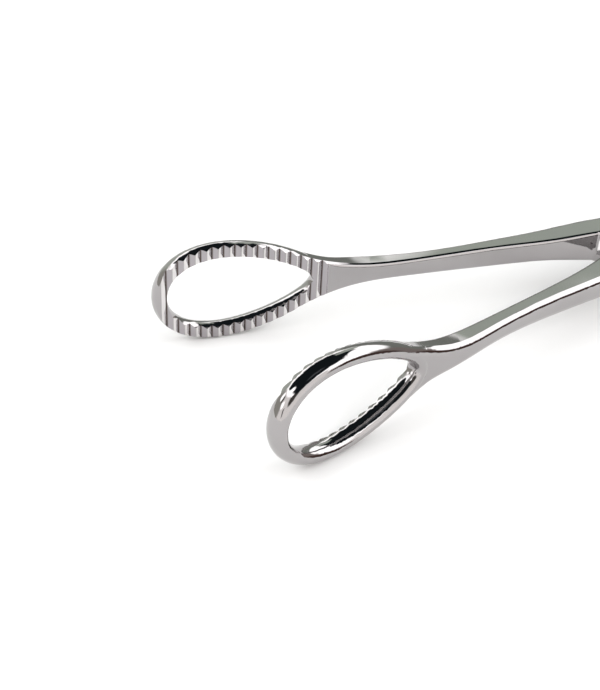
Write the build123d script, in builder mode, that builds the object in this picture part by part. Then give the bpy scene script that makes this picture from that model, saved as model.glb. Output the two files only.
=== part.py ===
from build123d import *
from math import cos, hypot, radians, sin, tan
import os

# Sponge holding forceps with a box lock, in millimetres.
# Both arms are drawn closed, the jaws towards -X, the pivot axis on Z and the middle of the
# lock's height at z = 0. At the end they are turned open and set on the lock's lower face.

# Pose: the angle between the arms as drawn open, and where the shoulders stop them
open_angle = 23.9
stop_angle = 48.0

# Jaw ring, measured on the middle line of its bar, which is oval and cut flat at the face
ring_centre = 65.9
ring_half_length = 11.9
ring_half_width = 6.27
ring_fullness = 0.28
bar_half_width = 1.1
bar_face_depth = 1.2
bar_back_depth = 1.6

# Serrated face, tilted so that the tips meet first
tip_gap = 0.12
face_tilt = 1.36
groove_pitch = 1.665
groove_count = 15
groove_depth = 0.5
crest_width = 0.15
first_groove_inset = 2.0
end_line_depth = 0.12

# Jaw shank, which starts inside the ring's bar, as stations at distances from the pivot
shank_start_angle = 130
shank_start_share = 0.8
shank_start_depth = 2.7
shank_back_round = 0.9
shank_face_round = 0.5
neck_at = 50.0
neck_height = 4.1
neck_depth = 3.2
waist_at = 40.0
waist_height = 2.8
waist_depth = 3.0
waist_bow = 0.85
swell_at = 24.0
swell_height = 3.4
swell_depth = 3.3
swell_bow = 1.13
root_at = 15.0
root_height = 3.8
root_depth = 4.45
root_bow = 0.85

# Box lock
lock_width = 11.2
lock_height = 5.6
lock_flat_half_length = 4.5
lock_throat = 0.44
tongue_thickness = 2.3
side_clearance = 0.1
shoulder_clearance = 0.15
lock_round = 0.9
lock_step = 0.12

# Pivot pin, riveted in the cheeks and running in the tongue
pin_diameter = 3.6
pin_clearance = 0.05
pin_edge = 0.15

# Handle shank
handle_start = 20.0
handle_start_height = 4.9
handle_start_depth = 4.4
handle_start_offset = 3.6
handle_root_round = 0.87
handle_step = 0.03
handle_middle = 75.0
handle_middle_height = 4.4
handle_middle_depth = 4.2
handle_middle_offset = 7.8
handle_end = 147.0
handle_end_height = 3.6
handle_end_depth = 2.8
handle_end_offset = 10.7
handle_round = 1.35

# Finger ring, measured on the middle line of its bar
finger_centre = 154.0
finger_offset = 19.6
finger_half_length = 14.0
finger_half_width = 10.6
finger_bar_width = 3.8
finger_bar_height = 4.4

# Ratchet
ratchet_at = 128.0
ratchet_length = 6.5
ratchet_root_length = 11.0
ratchet_root_rise = 3.6
ratchet_past_middle = 4.6
ratchet_gap = 0.12
ratchet_corner = 1.0
tooth_pitch = 1.6
tooth_depth = 0.7
tooth_count = 4
tooth_inset = 0.5

# Values that follow
lock_radius = lock_width / 2
root_top = lock_height / 2 - lock_step
slot_height = tongue_thickness + 2 * side_clearance
stop = radians(stop_angle)
web_corner = (
    (lock_radius + shoulder_clearance / 2) / sin(stop),
    shoulder_clearance / 2 / cos(stop),
)
slot_radius = hypot(*web_corner) + side_clearance
ring_tip = ring_centre + ring_half_length + bar_half_width
ring_root = ring_centre - ring_half_length
groove_half_width = (groove_pitch - crest_width) / 2
first_groove = ring_tip - first_groove_inset
face_end = first_groove - (groove_count - 0.5) * groove_pitch
face_slope = tan(radians(face_tilt))
ratchet_thickness = (handle_end_height - ratchet_gap) / 2
handle_slope = (handle_middle_offset - handle_start_offset) / (handle_middle - handle_start)
ratchet_root = handle_middle_offset + (ratchet_at - handle_middle) * (
    handle_end_offset - handle_middle_offset
) / (handle_end - handle_middle)
wide = ring_tip + finger_centre


def face_offset(distance):
    """Distance of the serrated face from the closing plane, at a distance from the pivot."""
    return tip_gap / 2 + (ring_tip - distance) * face_slope


def ring_direction(angle):
    """Direction of the middle line of the jaw ring's bar, seen from the side."""
    turn = radians(angle)
    fullness = 1 + ring_fullness * cos(turn)
    along = ring_half_length * sin(turn)
    rise = ring_half_width * (cos(turn) * fullness - ring_fullness * sin(turn) ** 2)
    return (along / hypot(along, rise), rise / hypot(along, rise))


def ring_point(angle, outside=0):
    """Point at a distance outside the middle line of the jaw ring's bar, seen from the side."""
    turn = radians(angle)
    along, rise = ring_direction(angle)
    middle_rise = ring_half_width * sin(turn) * (1 + ring_fullness * cos(turn))
    middle_at = ring_centre + ring_half_length * cos(turn)
    return (-middle_at - outside * rise, middle_rise + outside * along)


def curve(points, start, end):
    """Smooth line through points that leaves and arrives along the given directions."""
    return Spline(*points, tangents=(start, end), tangent_scalars=(1, 1))


def opposite(point):
    """The same point on the other side of the pivot."""
    return (-point[0], -point[1])


def notch(half_width, height, depth):
    """V-shaped cutter that reaches a depth into a face and a height above it."""
    spread = half_width * (1 + height / depth)
    return Polygon((-spread, -height), (0, depth), (spread, -height), align=None)


def long_edges(part, chosen):
    """Edges along the arm, where its sides meet its top and bottom, that a test on their box picks."""
    boxed = part.edges().filter_by(lambda edge: edge.bounding_box().size.X > lock_round)
    return boxed.filter_by(lambda edge: chosen(edge.bounding_box()))


def in_corner(point, corner):
    """True where a point has the same signs as a corner of the axes."""
    return point.X * corner.X > 0 and point.Y * corner.Y > 0 and point.Z * corner.Z > 0


# The arm from the side, down to its middle line: neck, shank, lock and handle root
shank_start = ring_point(shank_start_angle, shank_start_share * bar_half_width)
start_slope = ring_direction(shank_start_angle)
lock_top = (lock_flat_half_length, root_top)
handle_top = (handle_start, handle_start_height / 2)
jaw_top = [
    shank_start,
    (-neck_at, neck_height / 2),
    (-waist_at, waist_height / 2),
    (-swell_at, swell_height / 2),
    (-root_at, root_height / 2),
    (-lock_flat_half_length, root_top),
]

# The jaw from above: its edge towards the closing plane and its edge away from it
lock_side = (0, lock_radius - lock_step)
throat = (-(lock_radius + lock_throat * cos(stop)) / sin(stop), lock_throat)
throat_end = (throat[0] + lock_round, lock_throat)
throat_slope = (lock_throat - root_bow) / (throat_end[0] + root_at)
shoulder = (-lock_radius * sin(stop), -lock_radius * cos(stop))
neck_bow = face_offset(neck_at)
mid_wall = (swell_bow + shank_start_depth) / 2
jaw_inner = [
    (-face_end, face_offset(face_end)),
    (-neck_at, neck_bow),
    (-waist_at, waist_bow),
    (-swell_at, swell_bow),
    (-root_at, root_bow),
    throat_end,
]
jaw_outer = [
    (-ring_root, face_offset(ring_root) + shank_start_depth),
    (-neck_at, neck_bow + neck_depth),
    (-waist_at, waist_bow + waist_depth),
    (-swell_at, swell_bow + swell_depth),
    (-root_at, root_bow + root_depth),
    lock_side,
]
tip_inner = (-ring_tip, face_offset(ring_tip))
tip_outer = (-ring_tip, face_offset(ring_tip) + shank_start_depth)
buried = (throat[0] - lock_throat / tan(stop), 2 * lock_throat)
handle_outer = (handle_start, -handle_start_offset - handle_start_depth / 2)
handle_inner = (handle_start, -handle_start_offset + handle_start_depth / 2)

with BuildPart() as side_form:
    with BuildSketch(Plane.XZ.offset(-wide / 2)):
        with BuildLine():
            Line((shank_start[0], 0), shank_start)
            curve(jaw_top, start_slope, (1, 0))
            Line(jaw_top[-1], lock_top)
            curve([lock_top, handle_top], (1, 0), (1, 0))
            Line(handle_top, (handle_start, 0))
            mirror(about=Plane.XZ)
        make_face()
    extrude(amount=wide)

face_direction = Vector(1, face_slope).normalized()
face_plane = Plane((0, face_offset(0)), x_dir=face_direction, z_dir=face_direction.rotate(Axis.Z, 90))
bar_plane = face_plane.offset(bar_face_depth)
bar_start = Plane(
    bar_plane.from_local_coords(ring_point(0)), x_dir=face_direction, z_dir=bar_plane.y_dir
)
ring_line = [ring_point(angle) for angle in range(0, 360, 20)]

with BuildPart() as ring:
    with BuildLine(bar_plane):
        Spline(*ring_line, periodic=True)
    with BuildSketch(bar_start):
        Ellipse(bar_half_width, bar_back_depth)
        with Locations((0, bar_face_depth + bar_back_depth)):
            Rectangle(4 * bar_half_width, 2 * bar_back_depth, mode=Mode.SUBTRACT)
    sweep()

with BuildPart() as jaw:
    with BuildSketch(Plane.XY.offset(-wide / 2)):
        with BuildLine():
            Line(tip_outer, tip_inner)
            Line(tip_inner, jaw_inner[0])
            curve(jaw_inner, (1, face_slope), (1, throat_slope))
            Line(throat_end, (0, lock_throat))
            Line((0, lock_throat), lock_side)
            curve(jaw_outer, (1, face_slope), (1, 0))
            Line(tip_outer, jaw_outer[0])
        make_face()
    extrude(amount=wide)
    add(side_form.part, mode=Mode.INTERSECT)
    fillet(long_edges(jaw, lambda box: box.max.Y > mid_wall), shank_back_round)
    fillet(long_edges(jaw, lambda box: box.max.Y < mid_wall), shank_face_round)
    with BuildSketch(Plane.XZ.offset(-wide / 2)):
        with BuildLine():
            Spline(*ring_line, periodic=True)
        make_face()
    extrude(amount=wide, mode=Mode.SUBTRACT)
    add(ring.part)

    # Grooves across the face, and a finer one where the face ends
    with BuildSketch(Plane.XY.offset(-wide / 2)):
        for index in range(groove_count):
            groove_at = first_groove - index * groove_pitch
            with Locations((-groove_at, face_offset(groove_at))):
                notch(groove_half_width, groove_depth / 2, groove_depth)
        with Locations((-face_end, face_offset(face_end))):
            notch(end_line_depth, end_line_depth, end_line_depth)
    extrude(amount=wide, mode=Mode.SUBTRACT)

with BuildPart() as lock_block:
    Cylinder(lock_radius, lock_height)
    fillet(lock_block.edges().filter_by(GeomType.CIRCLE), lock_round)

# Flank that the other arm's shoulder closes on, in line with the stop
with BuildPart() as flank:
    with BuildSketch(Plane.XY.offset(-lock_height / 2)):
        Polygon((0, 0), buried, shoulder, align=None)
    extrude(amount=lock_height)
    slanted = Vector(shoulder[0] - buried[0], shoulder[1] - buried[1], 0).normalized()
    along_flank = flank.edges().filter_by(lambda edge: abs(edge.tangent_at(0).dot(slanted)) > cos(stop / 8))
    fillet(along_flank, lock_round)

with BuildPart() as handle_root:
    with BuildSketch(Plane.XY.offset(-lock_height)):
        with BuildLine():
            Line(opposite(lock_side), (0, -lock_throat))
            Line((0, -lock_throat), opposite(throat_end))
            curve([opposite(throat_end), handle_inner], (1, throat_slope), (1, -handle_slope))
            Line(handle_inner, handle_outer)
            curve([opposite(lock_side), handle_outer], (1, 0), (1, -handle_slope))
        make_face()
    extrude(amount=2 * lock_height)
    add(side_form.part, mode=Mode.INTERSECT)
    fillet(long_edges(handle_root, lambda box: box.size.Y < lock_height), handle_root_round)

with BuildPart() as handle:
    with BuildSketch(Plane.YZ.offset(handle_start)):
        with Locations((-handle_start_offset, 0)):
            RectangleRounded(
                handle_start_depth - 2 * handle_step, handle_start_height - 2 * handle_step, lock_round
            )
    with BuildSketch(Plane.YZ.offset(handle_middle)):
        with Locations((-handle_middle_offset, 0)):
            RectangleRounded(handle_middle_depth, handle_middle_height, handle_round)
    with BuildSketch(Plane.YZ.offset(handle_end)):
        with Locations((-handle_end_offset, 0)):
            RectangleRounded(handle_end_depth, handle_end_height, handle_round)
    loft()
    with BuildLine():
        EllipticalCenterArc(
            (finger_centre, -finger_offset), finger_half_length, finger_half_width, arc_size=360
        )
    ring_start = Plane(
        origin=(finger_centre + finger_half_length, -finger_offset, 0),
        x_dir=(1, 0, 0),
        z_dir=(0, 1, 0),
    )
    with BuildSketch(ring_start):
        Ellipse(finger_bar_width / 2, finger_bar_height / 2)
    sweep()

# Ratchet bar of one arm, with teeth on the side that meets the other arm's bar
with BuildPart() as ratchet:
    with BuildSketch(Plane.XY.offset(ratchet_gap / 2)) as bar_plan:
        with BuildLine():
            Polyline(
                (ratchet_at - ratchet_root_length / 2, -ratchet_root),
                (ratchet_at - ratchet_length / 2, -ratchet_root + ratchet_root_rise),
                (ratchet_at - ratchet_length / 2, ratchet_past_middle),
                (ratchet_at + ratchet_length / 2, ratchet_past_middle),
                (ratchet_at + ratchet_length / 2, -ratchet_root + ratchet_root_rise),
                (ratchet_at + ratchet_root_length / 2, -ratchet_root),
                close=True,
            )
        make_face()
        fillet(bar_plan.vertices().group_by(Axis.Y)[-1], ratchet_corner)
        fillet(bar_plan.vertices().group_by(Axis.Y)[1], ratchet_length)
    extrude(amount=ratchet_thickness)
    with BuildSketch(Plane.YZ.offset(ratchet_at - ratchet_length)):
        for index in range(tooth_count):
            steep_side = ratchet_past_middle - tooth_inset - index * tooth_pitch
            Polygon(
                (steep_side, ratchet_gap / 2),
                (steep_side, ratchet_gap / 2 + tooth_depth),
                (steep_side - tooth_pitch, ratchet_gap / 2),
                align=None,
            )
    extrude(amount=2 * ratchet_length, mode=Mode.SUBTRACT)

with BuildPart() as arm:
    add(jaw.part)
    add(lock_block.part)
    add(flank.part)
    add(flank.part.rotate(Axis.Z, 180))
    add(handle_root.part)
    add(handle.part)
    add(ratchet.part)

# Arm with the box: two cheeks around a slot whose ends are turned about the pivot
with BuildPart() as box_arm:
    add(arm.part)
    Cylinder(slot_radius, slot_height, mode=Mode.SUBTRACT)
    Cylinder(pin_diameter / 2, lock_height, mode=Mode.SUBTRACT)

# Arm with the tongue: thinned between two shoulders, which stop the arms when they open
with BuildPart() as tongue_arm:
    add(arm.part)
    for side in (-1, 1):
        with BuildSketch(Plane.XY.offset(side * tongue_thickness / 2)):
            Rectangle(2 * lock_width, 2 * (lock_radius + shoulder_clearance), rotation=stop_angle)
        extrude(amount=side * lock_height, mode=Mode.SUBTRACT)
    Cylinder(pin_diameter / 2 + pin_clearance, lock_height, mode=Mode.SUBTRACT)

with BuildPart() as pivot_pin:
    Cylinder(pin_diameter / 2, lock_height)
    chamfer(pivot_pin.edges().filter_by(GeomType.CIRCLE), pin_edge)

# Open pose, on the lock's lower face
middle = lock_height / 2
box_arm.part.locate(Location((0, 0, middle), (0, 0, -open_angle / 2)))
tongue_arm.part.locate(Location((0, 0, middle), (180, 0, -open_angle / 2)))
pivot_pin.part.locate(Location((0, 0, middle)))

os.makedirs("parts", exist_ok=True)
box_arm.part.label = "box_arm"
tongue_arm.part.label = "tongue_arm"
pivot_pin.part.label = "pivot_pin"
export_step(box_arm.part, "parts/box_arm.step")
export_step(tongue_arm.part, "parts/tongue_arm.step")
export_step(pivot_pin.part, "parts/pivot_pin.step")
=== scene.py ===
"""Sponge holding forceps, open, lying on a pale floor."""

import logging  # noqa: E402
from dataclasses import dataclass, field  # noqa: E402
from enum import Enum  # noqa: E402
from math import cos, pi, radians, sin, tan  # noqa: E402

import bpy  # noqa: E402
from mathutils import Matrix, Vector  # noqa: E402


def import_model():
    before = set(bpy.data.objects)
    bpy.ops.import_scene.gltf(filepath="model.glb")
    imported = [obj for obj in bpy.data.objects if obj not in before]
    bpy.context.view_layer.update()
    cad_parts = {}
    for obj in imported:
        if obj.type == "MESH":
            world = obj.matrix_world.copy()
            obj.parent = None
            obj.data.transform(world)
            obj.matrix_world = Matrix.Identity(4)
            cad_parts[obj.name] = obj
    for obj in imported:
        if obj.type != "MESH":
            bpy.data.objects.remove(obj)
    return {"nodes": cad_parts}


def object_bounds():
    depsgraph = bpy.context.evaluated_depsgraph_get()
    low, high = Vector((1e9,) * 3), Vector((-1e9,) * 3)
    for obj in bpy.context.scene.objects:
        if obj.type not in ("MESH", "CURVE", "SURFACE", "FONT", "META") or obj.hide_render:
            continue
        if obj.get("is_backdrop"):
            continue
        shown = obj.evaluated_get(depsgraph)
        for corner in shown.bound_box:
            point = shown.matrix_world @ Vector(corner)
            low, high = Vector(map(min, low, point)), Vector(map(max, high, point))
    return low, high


LOG = logging.getLogger("forceps")
Point = tuple[float, float, float]
Colour = tuple[float, float, float]

# A Mix node has its sockets several times over. These are the ones that mix colours.
MIX_FACTOR, MIX_FIRST, MIX_SECOND = 0, 6, 7
MIX_RESULT = 2


class Node(Enum):
    """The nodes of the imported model."""

    BOX_ARM = "box_arm"
    TONGUE_ARM = "tongue_arm"
    PIVOT_PIN = "pivot_pin"


class Socket:
    """A shader value that can be used in Python expressions."""

    def __init__(self, tree: "ShaderTree", link: bpy.types.NodeSocket) -> None:
        """Wraps an output socket of a tree."""
        self.tree = tree
        self.link = link

    def _math(self, operation: str, first: object, second: object) -> "Socket":
        """Adds a Math node on two values."""
        return self.tree.node("ShaderNodeMath", {"operation": operation}, {0: first, 1: second})

    def __add__(self, other: object) -> "Socket":
        """self + other."""
        return self._math("ADD", self, other)

    __radd__ = __add__

    def __mul__(self, other: object) -> "Socket":
        """self * other."""
        return self._math("MULTIPLY", self, other)

    __rmul__ = __mul__

    def __sub__(self, other: object) -> "Socket":
        """self - other."""
        return self._math("SUBTRACT", self, other)

    def __rsub__(self, other: object) -> "Socket":
        """other - self."""
        return self._math("SUBTRACT", other, self)

    def __truediv__(self, other: object) -> "Socket":
        """self / other."""
        return self._math("DIVIDE", self, other)

    def dot(self, other: object) -> "Socket":
        """Dot product with another vector."""
        return self.tree.node(
            "ShaderNodeVectorMath", {"operation": "DOT_PRODUCT"}, {0: self, 1: other}, "Value"
        )

    def clamped(self, low: float, high: float) -> "Socket":
        """The value as a share of the way from low to high, kept between 0 and 1."""
        return self.tree.node(
            "ShaderNodeMapRange",
            {"interpolation_type": "SMOOTHSTEP"},
            {"Value": self, "From Min": low, "From Max": high},
        )


class ShaderTree:
    """Node tree of a material or of the world."""

    def __init__(self, owner: bpy.types.Material | bpy.types.World) -> None:
        """Clears the owner's nodes and starts anew.

        Args:
            owner: the material or the world that the tree belongs to.
        """
        owner.use_nodes = True
        self.tree = owner.node_tree
        self.tree.nodes.clear()

    def node(self, kind: str, settings: dict, inputs: dict, output: int | str = 0) -> Socket:
        """Adds a node.

        Args:
            kind: the node's type.
            settings: what is set on the node itself.
            inputs: values or sockets, by the input's name or number.
            output: the name or number of the output that is wanted.

        Returns:
            The wanted output.
        """
        made = self.tree.nodes.new(kind)
        for name, value in settings.items():
            setattr(made, name, value)
        for name, value in inputs.items():
            if isinstance(value, Socket):
                self.tree.links.new(value.link, made.inputs[name])
            else:
                made.inputs[name].default_value = value
        return Socket(self, made.outputs[output])

    def mix(self, factor: object, first: object, second: object) -> Socket:
        """Mixes two colours.

        Args:
            factor: share of the second colour.
            first: colour at factor 0, as four numbers or a socket.
            second: colour at factor 1.

        Returns:
            The mixed colour.
        """
        made = self.tree.nodes.new("ShaderNodeMix")
        made.data_type = "RGBA"
        for index, value in ((MIX_FACTOR, factor), (MIX_FIRST, first), (MIX_SECOND, second)):
            if isinstance(value, Socket):
                self.tree.links.new(value.link, made.inputs[index])
            else:
                made.inputs[index].default_value = value
        return Socket(self, made.outputs[MIX_RESULT])

    def noise(self, place: Socket, scale: float, detail: float) -> Socket:
        """Adds a noise.

        Args:
            place: where it is read.
            scale: how many of its cells fit in a metre.
            detail: how many finer layers it has.

        Returns:
            The noise, from 0 to 1.
        """
        inputs = {"Vector": place, "Scale": scale, "Detail": detail}
        return self.node("ShaderNodeTexNoise", {}, inputs)

    def output(self, kind: str, socket: str, value: Socket) -> None:
        """Ends the tree.

        Args:
            kind: the output node's type.
            socket: the name of its input.
            value: what goes into it.
        """
        made = self.tree.nodes.new(kind)
        self.tree.links.new(value.link, made.inputs[socket])


@dataclass(frozen=True)
class Serration:
    """Where an arm's serrated face lies, and the painted reflection and painted shade laid on its
    ground grooves.

    turn is the arm's angle from the closing plane and side is 1 for the arm whose jaw lies at +Y.
    faces and flanks are the cosines between which a normal starts to count as the face's or as a
    flank's, and bottom the shares of the grooves' depth between which the valleys' painted shade
    sets in.
    """

    side: int
    turn: float = 11.95
    tip: float = 0.0789
    start: float = 0.0500
    gap: float = 0.00006
    tilt: float = 1.36
    depth: float = 0.0005
    # Painted reflection: the lighter tone laid on flanks that face the lock.
    light: Colour = (0.76, 0.74, 0.74)
    # Painted shade: the darker tone laid on flanks that face the tip.
    dark: Colour = (0.38, 0.36, 0.375)
    # Painted shade: the near-black tone laid at the bottoms of the grooves.
    painted_valley_shade: Colour = (0.10, 0.078, 0.072)
    faces: tuple[float, float] = (0.45, 0.6)
    flanks: tuple[float, float] = (0.2, 0.35)
    bottom: tuple[float, float] = (0.70, 0.95)

    def ways(self) -> tuple[Point, Point]:
        """The directions from the jaw's tip to the lock and from the arm to the closing plane."""
        turn = radians(self.turn)
        along = (cos(turn), -self.side * sin(turn), 0.0)
        inward = (-sin(turn), -self.side * cos(turn), 0.0)
        return along, inward

    def paint_groove_shading(self, tree: ShaderTree, steel: Socket) -> Socket:
        """Lays painted reflection and painted shade on the grooves' flanks and valleys over the
        steel's own colour.

        Args:
            tree: the material's tree.
            steel: the steel's colour elsewhere.

        Returns:
            The colour with the serrations' painted reflection and painted shade.
        """
        along, inward = self.ways()
        place = tree.node("ShaderNodeTexCoord", {}, {}, "Object")
        normal = tree.node("ShaderNodeTexCoord", {}, {}, "Normal")
        reach = -1 * place.dot(along)
        facing = normal.dot(inward)
        lean = normal.dot(along)
        slope = tan(radians(self.tilt))
        sunk = -1 * place.dot(inward) - self.gap - (self.tip - reach) * slope
        in_jaw = reach.clamped(self.start, self.start + self.depth)
        in_face = in_jaw * facing.clamped(*self.faces)
        # Painted reflection and painted shade: flanks facing the lock get the lighter tone, flanks
        # facing the tip the darker one.
        shaded_flank_share = in_face * (-1 * lean).clamped(*self.flanks)
        lit_flank_share = in_face * lean.clamped(*self.flanks)
        seen = tree.mix(shaded_flank_share, steel, (*self.dark, 1.0))
        seen = tree.mix(lit_flank_share, seen, (*self.light, 1.0))
        # Painted shade darkens the bottoms of the grooves.
        above, below = self.bottom
        valley_shade_share = in_face * sunk.clamped(above * self.depth, below * self.depth)
        return tree.mix(valley_shade_share, seen, (*self.painted_valley_shade, 1.0))


@dataclass(frozen=True)
class PolishedSteel:
    """Mirror-polished stainless steel with the faint haze and lines of the buffing wheel."""

    tone: Colour = (0.405, 0.390, 0.393)
    haze_tone: Colour = (0.38, 0.365, 0.368)
    roughness: float = 0.045
    haze: float = 0.08
    cloud_scale: float = 90.0
    cloud_detail: float = 3.0
    cloud_range: tuple[float, float] = (0.35, 0.75)
    line_scale: float = 2600.0
    line_detail: float = 2.0
    line_stretch: Point = (0.08, 1.0, 1.0)
    line_depth: float = 2.4e-7

    def material(self, name: str, serration: Serration | None = None) -> bpy.types.Material:
        """The finish as a material.

        Args:
            name: the material's name.
            serration: the serrated face on the piece, with its painted reflection and shade, if it
                has one.

        Returns:
            The material.
        """
        made = bpy.data.materials.new(name)
        tree = ShaderTree(made)
        place = tree.node("ShaderNodeTexCoord", {}, {}, "Object")
        cloud = tree.noise(place, self.cloud_scale, self.cloud_detail)
        along = tree.node("ShaderNodeMapping", {}, {"Vector": place, "Scale": self.line_stretch})
        lines = tree.noise(along, self.line_scale, self.line_detail)
        share = cloud.clamped(*self.cloud_range)
        colour = tree.mix(share, (*self.tone, 1.0), (*self.haze_tone, 1.0))
        if serration is not None:
            # The serrated arms get painted reflection and painted shade on their grooves.
            colour = serration.paint_groove_shading(tree, colour)
        rough = self.roughness + self.haze * share * lines
        height = lines * self.line_depth
        bump = tree.node("ShaderNodeBump", {}, {"Strength": 1.0, "Distance": 1.0, "Height": height})
        shader = tree.node(
            "ShaderNodeBsdfPrincipled",
            {},
            {"Base Color": colour, "Metallic": 1.0, "Roughness": rough, "Normal": bump},
        )
        tree.output("ShaderNodeOutputMaterial", "Surface", shader)
        return made


@dataclass(frozen=True)
class PaleFloor:
    """Smooth, nearly white floor."""

    tone: Colour = (0.93, 0.93, 0.93)
    roughness: float = 0.7
    grain_roughness: float = 0.1
    grain_scale: float = 400.0
    grain_detail: float = 2.0

    def material(self) -> bpy.types.Material:
        """The finish as a material."""
        made = bpy.data.materials.new("pale_floor")
        tree = ShaderTree(made)
        place = tree.node("ShaderNodeTexCoord", {}, {}, "Object")
        grain = tree.noise(place, self.grain_scale, self.grain_detail)
        rough = self.roughness + self.grain_roughness * grain
        shader = tree.node(
            "ShaderNodeBsdfPrincipled", {}, {"Base Color": (*self.tone, 1.0), "Roughness": rough}
        )
        tree.output("ShaderNodeOutputMaterial", "Surface", shader)
        return made


@dataclass(frozen=True)
class Patch:
    """An oval patch of the studio around the object, on a map of the sky seen from the object.

    The map's middle is straight up and its distances are in right angles from there, so the
    horizon lies one unit out. across and away are the middle, width and reach the half axes, turn
    is how far the width's axis turns from X and soft how wide the edge fades. A later patch covers
    an earlier one.
    """

    tone: Colour
    across: float
    away: float
    width: float
    reach: float
    turn: float = 0.0
    soft: float = 0.2

    def cover(self, tree: ShaderTree, place: Socket, under: Socket) -> Socket:
        """Lays the patch over what is behind it.

        Args:
            tree: the world's tree.
            place: place on the map.
            under: colour behind the patch.

        Returns:
            The colour with the patch.
        """
        own = tree.node(
            "ShaderNodeMapping",
            {"vector_type": "TEXTURE"},
            {
                "Vector": place,
                "Location": (self.across, self.away, 0.0),
                "Rotation": (0.0, 0.0, radians(self.turn)),
                "Scale": (self.width, self.reach, 1.0),
            },
        )
        out = tree.node("ShaderNodeVectorMath", {"operation": "LENGTH"}, {0: own}, "Value")
        mask = 1 - out.clamped(1 - self.soft, 1 + self.soft)
        return tree.mix(mask, under, (*self.tone, 1.0))


@dataclass(frozen=True)
class Surroundings:
    """What the polished steel reflects: a dark ceiling ringed by bright windows, and pale walls."""

    walls: Colour = (1.50, 1.46, 1.42)
    patches: tuple[Patch, ...] = (
        Patch((0.74, 0.79, 0.72), -0.05, 0.95, 0.75, 0.45, 0.0, 0.12),
        Patch((0.32, 0.34, 0.31), 0.86, 0.52, 0.42, 0.55, 35.0, 0.10),
        Patch((0.36, 0.31, 0.29), 1.02, -0.12, 0.30, 0.50, -12.0, 0.10),
        Patch((2.9, 2.9, 2.9), 0.53, -0.33, 0.12, 0.22, -32.0, 0.12),
        Patch((0.11, 0.070, 0.060), 0.74, -0.48, 0.15, 0.30, -33.0, 0.25),
        Patch((0.54, 0.53, 0.48), -0.80, 0.55, 0.35, 0.45, -35.0, 0.2),
        Patch((2.9, 2.9, 2.9), 0.10, 0.12, 0.63, 0.56, 0.0, 0.05),
        Patch((2.9, 2.9, 2.9), -0.55, 0.42, 0.09, 0.07, 40.0, 0.3),
        Patch((2.9, 2.9, 2.9), -0.70, 0.08, 0.09, 0.10, 0.0, 0.3),
        Patch((0.19, 0.18, 0.17), -0.60, 0.28, 0.07, 0.06, 40.0, 0.4),
        Patch((0.19, 0.18, 0.17), -0.76, -0.34, 0.10, 0.06, 20.0, 0.4),
        Patch((0.12, 0.11, 0.10), -0.36, -0.38, 0.20, 0.20, 0.0, 0.25),
        Patch((0.67, 0.74, 0.65), 0.45, 0.50, 0.07, 0.07, 0.0, 0.3),
        Patch((0.014, 0.019, 0.022), 0.06, 0.08, 0.56, 0.42, 60.0, 0.06),
        Patch((2.9, 2.9, 2.9), 0.50, 0.10, 0.065, 0.24, 0.0, 0.2),
        Patch((0.66, 0.73, 0.65), 0.405, 0.45, 0.085, 0.072, 45.0, 0.3),
        Patch((0.014, 0.019, 0.022), -0.22, 0.33, 0.21, 0.17, 40.0, 0.1),
        Patch((2.9, 2.9, 2.9), -0.37, 0.10, 0.05, 0.10, 10.0, 0.3),
        Patch((2.9, 2.9, 2.9), -0.41, -0.20, 0.04, 0.05, 20.0, 0.3),
        Patch((0.12, 0.13, 0.14), 0.08, -0.12, 0.13, 0.06, 20.0, 0.4),
    )

    def hang(self) -> None:
        """Makes the world."""
        world = bpy.data.worlds.new("studio")
        bpy.context.scene.world = world
        tree = ShaderTree(world)
        way = tree.node("ShaderNodeTexCoord", {}, {}, "Generated")
        level = {0: way, 1: (1.0, 1.0, 0.0)}
        flat = tree.node("ShaderNodeVectorMath", {"operation": "MULTIPLY"}, level)
        course = tree.node("ShaderNodeVectorMath", {"operation": "NORMALIZE"}, {0: flat})
        height = tree.node("ShaderNodeSeparateXYZ", {}, {"Vector": way}, "Z")
        steep = tree.node("ShaderNodeMath", {"operation": "ARCCOSINE"}, {0: height})
        share = steep / (pi / 2)
        far = {0: course, "Scale": share}
        place = tree.node("ShaderNodeVectorMath", {"operation": "SCALE"}, far)
        seen = (*self.walls, 1.0)
        for patch in self.patches:
            seen = patch.cover(tree, place, seen)
        shader = tree.node("ShaderNodeBackground", {}, {"Color": seen, "Strength": 1.0})
        tree.output("ShaderNodeOutputWorld", "Surface", shader)


@dataclass
class Forceps:
    """The instrument itself: two arms and their pin."""

    steel: PolishedSteel = field(default_factory=PolishedSteel)

    def dress(self, nodes: dict[str, bpy.types.Object]) -> None:
        """Gives every solid its finish.

        Args:
            nodes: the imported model's nodes by name.
        """
        finishes = {
            Node.BOX_ARM: self.steel.material("box_arm_steel", Serration(1)),
            Node.TONGUE_ARM: self.steel.material("tongue_arm_steel", Serration(-1)),
            Node.PIVOT_PIN: self.steel.material("pin_steel"),
        }
        for node in Node:
            solid = nodes[node.value]
            for slot in solid.material_slots:
                slot.material = finishes[node]
            LOG.info("dressed %s", node.value)


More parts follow.
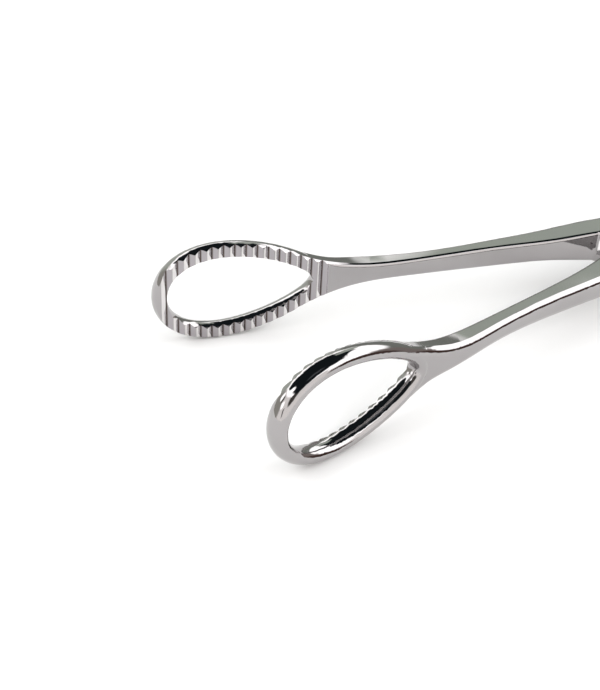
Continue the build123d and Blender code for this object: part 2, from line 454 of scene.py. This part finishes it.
@dataclass
class Studio:
    """Floor, light and camera."""

    floor_size: float = 24.0
    camera_place: Point = (-0.129647, -0.110176, 0.084357)
    azimuth: float = -31.281
    elevation: float = 32.829
    roll: float = 2.866
    lens: float = 58.77
    sensor: float = 36.0
    nearest: float = 0.001
    floor_light_size: float = 6.0
    floor_light_height: float = 1.5
    floor_light_power: float = 50.0

    def lay_floor(self, level: float) -> bpy.types.Object:
        """Makes the floor.

        Args:
            level: its height.

        Returns:
            The floor's object.
        """
        half = self.floor_size / 2
        mesh = bpy.data.meshes.new("floor")
        sides = ((-half, -half), (half, -half), (half, half), (-half, half))
        corners = [(across, away, level) for across, away in sides]
        mesh.from_pydata(corners, [], [(0, 1, 2, 3)])
        mesh.materials.append(PaleFloor().material())
        floor = bpy.data.objects.new("floor", mesh)
        bpy.context.scene.collection.objects.link(floor)
        floor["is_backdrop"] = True
        return floor

    def light(self) -> None:
        """Hangs the studio's surroundings and lights the floor from above."""
        Surroundings().hang()
        data = bpy.data.lights.new("floor_light", "AREA")
        data.shape = "DISK"
        data.size = self.floor_light_size
        data.energy = self.floor_light_power
        lamp = bpy.data.objects.new("floor_light", data)
        lamp.location = (0.0, 0.0, self.floor_light_height)
        lamp.visible_glossy = False
        bpy.context.scene.collection.objects.link(lamp)
        bpy.context.scene.view_settings.view_transform = "Standard"

    def set_camera(self) -> None:
        """Places the camera at the photograph's view."""
        data = bpy.data.cameras.new("camera")
        data.lens = self.lens
        data.sensor_width = self.sensor
        data.clip_start = self.nearest
        camera = bpy.data.objects.new("camera", data)
        bpy.context.scene.collection.objects.link(camera)
        camera.matrix_world = self._view()
        bpy.context.scene.camera = camera

    def _view(self) -> Matrix:
        """The camera's place and turn as a matrix."""
        turn, rise, roll = radians(self.azimuth), radians(self.elevation), radians(self.roll)
        back = Vector((sin(turn) * cos(rise), -cos(turn) * cos(rise), sin(rise)))
        right = (-back).cross(Vector((0, 0, 1))).normalized()
        up = right.cross(-back)
        rolled_right = right * cos(roll) + up * sin(roll)
        rolled_up = up * cos(roll) - right * sin(roll)
        turned = Matrix((rolled_right, rolled_up, back)).transposed().to_4x4()
        return Matrix.Translation(self.camera_place) @ turned


def main() -> None:
    """Builds the scene in order."""
    logging.basicConfig(level=logging.INFO)
    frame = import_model()
    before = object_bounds()
    Forceps().dress(frame["nodes"])
    studio = Studio()
    studio.lay_floor(before[0][2])
    studio.light()
    studio.set_camera()


if __name__ == "__main__":
    main()
